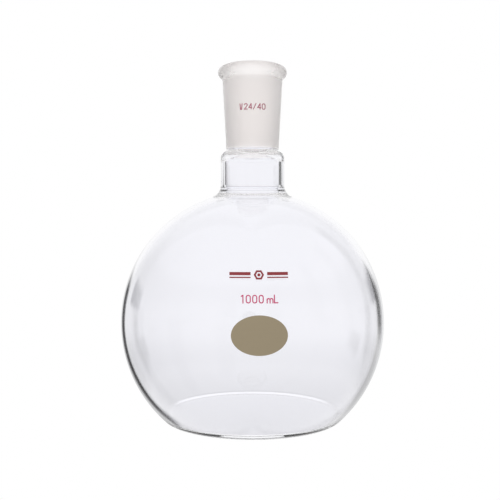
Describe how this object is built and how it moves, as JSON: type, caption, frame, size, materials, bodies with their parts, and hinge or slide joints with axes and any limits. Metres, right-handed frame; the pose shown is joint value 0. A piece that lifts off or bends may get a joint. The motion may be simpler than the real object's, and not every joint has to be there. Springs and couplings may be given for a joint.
{
  "type": "flat-bottomed boiling flask",
  "caption": "Blown glass flask with a round body on a pressed flat, a short shouldered neck and a ground taper socket with a rolled bead; fired enamel marks on the front.",
  "frame": {"origin": "middle of the flat that the flask stands on", "axes": "+Z along the flask's axis, out of its mouth; -Y towards the front, where the enamel marks are; +X to the right of someone who reads them"},
  "size_m": [0.131, 0.1311, 0.1766],
  "materials": {
    "clear_glass": "clear borosilicate glass, fire polished",
    "ground_glass": "borosilicate glass, ground inside, clear at the bead",
    "olive_enamel": "fired enamel, matt, to write on",
    "crimson_enamel": "fired enamel, satin",
    "red_enamel": "fired enamel, satin"
  },
  "bodies": {
    "root": {"bulb": "clear_glass", "neck_tube": "clear_glass", "ground_joint": "ground_glass", "marking_spot": "olive_enamel", "capacity_mark": "crimson_enamel", "maker_mark": "red_enamel", "joint_size_mark": "red_enamel"}
  },
  "joints": []
}
